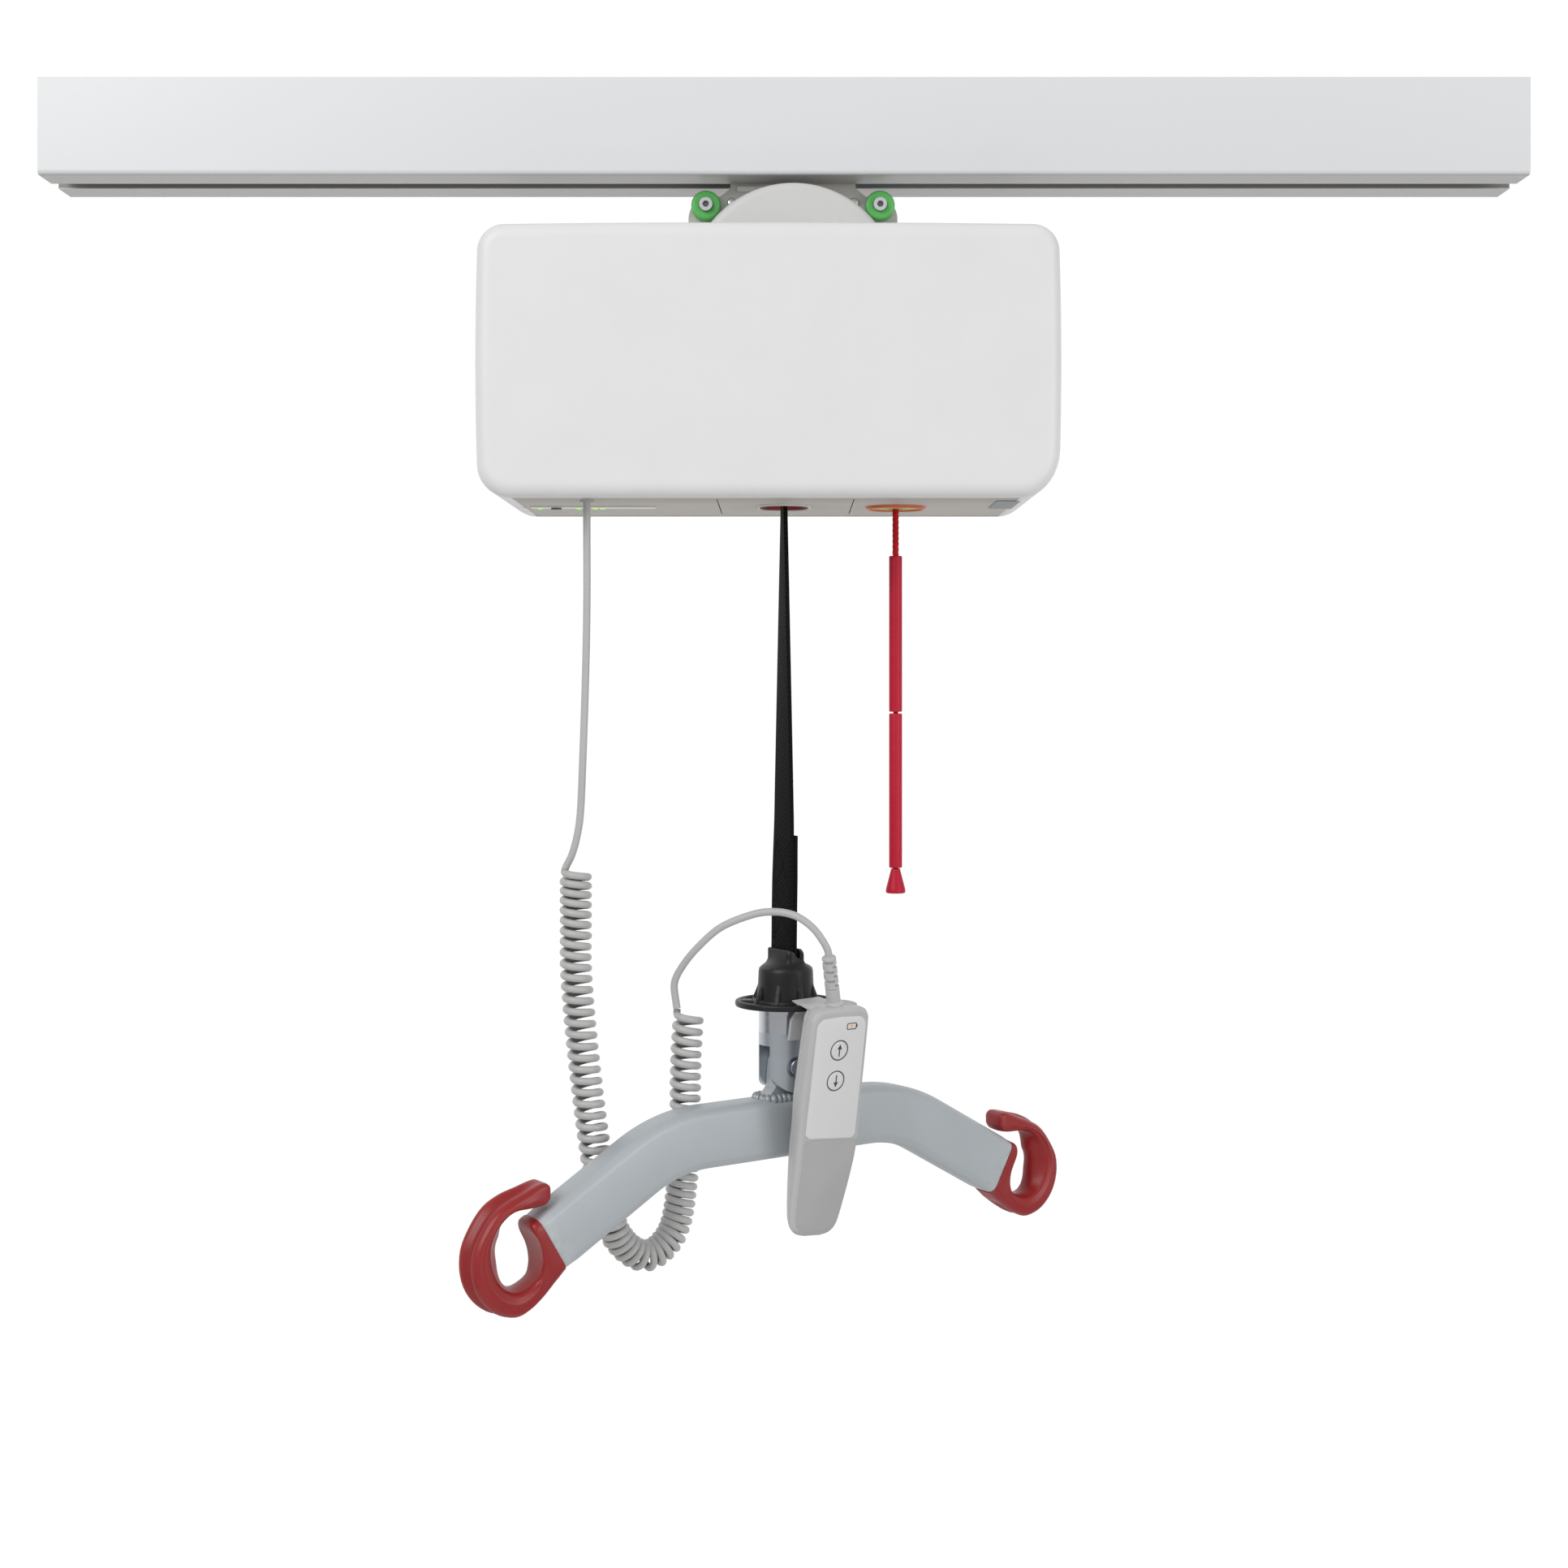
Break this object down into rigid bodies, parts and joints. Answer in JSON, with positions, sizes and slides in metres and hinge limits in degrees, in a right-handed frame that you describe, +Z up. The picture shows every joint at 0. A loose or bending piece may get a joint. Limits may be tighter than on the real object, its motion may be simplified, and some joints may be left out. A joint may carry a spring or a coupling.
{
  "type": "ceiling track hoist",
  "caption": "Ceiling track hoist: cased strap winch on a rail trolley, with a hooked spreader bar, emergency pull cord and corded handset.",
  "frame": {"origin": "centre of the rail's top face, where it meets the ceiling", "axes": "+X along the rail to the right seen from the front, +Y to the back, +Z up"},
  "size_m": [0.98, 0.2838, 0.7925],
  "materials": {
    "rail_white": "satin powder coat",
    "stop_rubber": "matt",
    "steel": "brushed",
    "grey_steel": "zinc plated",
    "plate_beige": "zinc plated",
    "wheel_white": "moulded",
    "dome_grey": "fine satin",
    "bolt_steel": "turned",
    "roller_green": "moulded",
    "casing_white": "fine satin",
    "panel_greige": "fine satin",
    "liner_red": "moulded",
    "gear_grey": "cast",
    "motor_black": "satin",
    "drum_grey": "turned",
    "strap_black": "woven",
    "battery_black": "moulded",
    "board_green": "laminate",
    "strip_grey": "film",
    "lens_green": "clear",
    "button_dark": "moulded",
    "window_grey": "smooth",
    "cord_grey": "satin jacket",
    "ring_orange": "moulded",
    "lever_orange": "moulded",
    "rope_red": "braided",
    "tube_red": "satin tube",
    "bell_black": "moulded",
    "alu_satin": "satin",
    "steel_polished": "polished",
    "bar_silver": "anodised satin",
    "hook_red": "matt",
    "hand_grey": "fine satin",
    "keypad_grey": "film"
  },
  "bodies": {
    "rail_body": {"rail": "rail_white", "end_stops": "stop_rubber"},
    "hoist": {"carriage_block": "grey_steel", "hanger_plate": "plate_beige", "suspension_dome": "dome_grey", "roller_bolts": "bolt_steel", "front_cover": "casing_white", "rear_cover": "casing_white", "bottom_panel": "panel_greige", "strap_guide": "panel_greige", "strap_guide_liner": "liner_red", "chassis_plates": "grey_steel", "suspension_pin": "steel", "gearbox": "gear_grey", "motor": "motor_black", "drum_bearings": "steel", "battery_packs": "battery_black", "control_board": "board_green", "indicator_strip": "strip_grey", "indicator_lenses": "lens_green", "charging_window": "window_grey", "cable_gland": "cord_grey", "pull_cord_ring": "ring_orange"},
    "left_wheelset": {"left_axle": "steel", "left_wheels": "wheel_white"},
    "right_wheelset": {"right_axle": "steel", "right_wheels": "wheel_white"},
    "left_bumper": {"left_roller": "roller_green"},
    "right_bumper": {"right_roller": "roller_green"},
    "drum": {"drum_shaft": "steel", "strap_drum": "drum_grey", "strap_winding": "strap_black"},
    "lever": {"release_lever": "lever_orange"},
    "pull_cord": {"pull_rope": "rope_red", "pull_tubes": "tube_red", "pull_cone": "tube_red"},
    "power_key": {"power_button": "button_dark"},
    "lift": {"strap": "strap_black", "cord_upper": "cord_grey", "cord_coil": "cord_grey"},
    "suspension": {"bell": "bell_black", "yoke": "alu_satin", "strap_pin": "steel", "swivel_collar": "steel_polished", "fork": "alu_satin", "pivot_bolt": "bolt_steel", "pivot_nut": "bolt_steel", "cord_arc": "cord_grey"},
    "bar": {"bar_tube": "bar_silver", "bar_lug": "bar_silver", "weld_beads": "bar_silver", "hook_left": "hook_red", "hook_right": "hook_red"},
    "handset": {"handset_front": "hand_grey", "handset_back": "hand_grey", "keypad": "keypad_grey", "handset_board": "board_green", "strain_relief": "cord_grey"},
    "up_key": {"up_button": "keypad_grey"},
    "down_key": {"down_button": "keypad_grey"}
  },
  "joints": [
    {"name": "travel", "type": "slide", "parent": "rail_body", "child": "hoist", "axis": [1, 0, 0], "range_m": [-0.28, 0.28]},
    {"name": "left_wheel_spin", "type": "hinge", "parent": "hoist", "child": "left_wheelset", "pos_m": [-0.034, 0, -0.04], "axis": [0, 1, 0], "continuous": true},
    {"name": "right_wheel_spin", "type": "hinge", "parent": "hoist", "child": "right_wheelset", "pos_m": [0.046, 0, -0.04], "axis": [0, 1, 0], "continuous": true},
    {"name": "left_roller_spin", "type": "hinge", "parent": "hoist", "child": "left_bumper", "pos_m": [-0.052, -0.01, -0.0795], "axis": [0, 1, 0], "continuous": true},
    {"name": "right_roller_spin", "type": "hinge", "parent": "hoist", "child": "right_bumper", "pos_m": [0.064, -0.01, -0.0795], "axis": [0, 1, 0], "continuous": true},
    {"name": "lift_travel", "type": "slide", "parent": "hoist", "child": "lift", "axis": [0, 0, 1], "range_m": [-1.95, 0.05], "deforming": ["strap", "cord_upper", "cord_coil"]},
    {"name": "drum_spin", "type": "hinge", "parent": "hoist", "child": "drum", "pos_m": [0.044, 0, -0.19], "axis": [0, 1, 0], "continuous": true},
    {"name": "suspension_turn", "type": "hinge", "parent": "lift", "child": "suspension", "pos_m": [0, 0, -0.598], "axis": [0, 0, 1], "range_deg": [0, 56], "deforming": ["strap", "cord_arc"]},
    {"name": "bar_tilt", "type": "hinge", "parent": "suspension", "child": "bar", "pos_m": [0, 0, -0.654], "axis": [0.5592, -0.829, 0], "range_deg": [-15, 15]},
    {"name": "handset_swing", "type": "hinge", "parent": "suspension", "child": "handset", "pos_m": [0.01789, -0.02653, -0.6105], "axis": [-0.829, -0.5592, 0], "range_deg": [0, 25], "deforming": ["cord_arc"]},
    {"name": "up_press", "type": "slide", "parent": "handset", "child": "up_key", "axis": [-0.548, 0.8124, 0.1994], "range_m": [0, 0.001], "stiffness_N_per_m": 600, "springref_m": -0.0005},
    {"name": "down_press", "type": "slide", "parent": "handset", "child": "down_key", "axis": [-0.548, 0.8124, 0.1994], "range_m": [0, 0.001], "stiffness_N_per_m": 600, "springref_m": -0.0005},
    {"name": "power_press", "type": "slide", "parent": "hoist", "child": "power_key", "axis": [0, 0, 1], "range_m": [0, 0.001], "stiffness_N_per_m": 500, "springref_m": -0.0005},
    {"name": "emergency_pull", "type": "slide", "parent": "hoist", "child": "pull_cord", "axis": [0, 0, -1], "range_m": [0, 0.015], "stiffness_N_per_m": 800, "springref_m": -0.003},
    {"name": "lever_turn", "type": "hinge", "parent": "hoist", "child": "lever", "pos_m": [0.105, 0, -0.247], "axis": [0, 1, 0], "range_deg": [-29, 1]}
  ],
  "couplings": [
    {"joint": "left_wheel_spin", "follows": "travel", "rad_per_m": 50.761},
    {"joint": "right_wheel_spin", "follows": "travel", "rad_per_m": 50.761},
    {"joint": "drum_spin", "follows": "lift_travel", "rad_per_m": 22.727},
    {"joint": "lever_turn", "follows": "emergency_pull", "rad_per_m": -33.333}
  ]
}
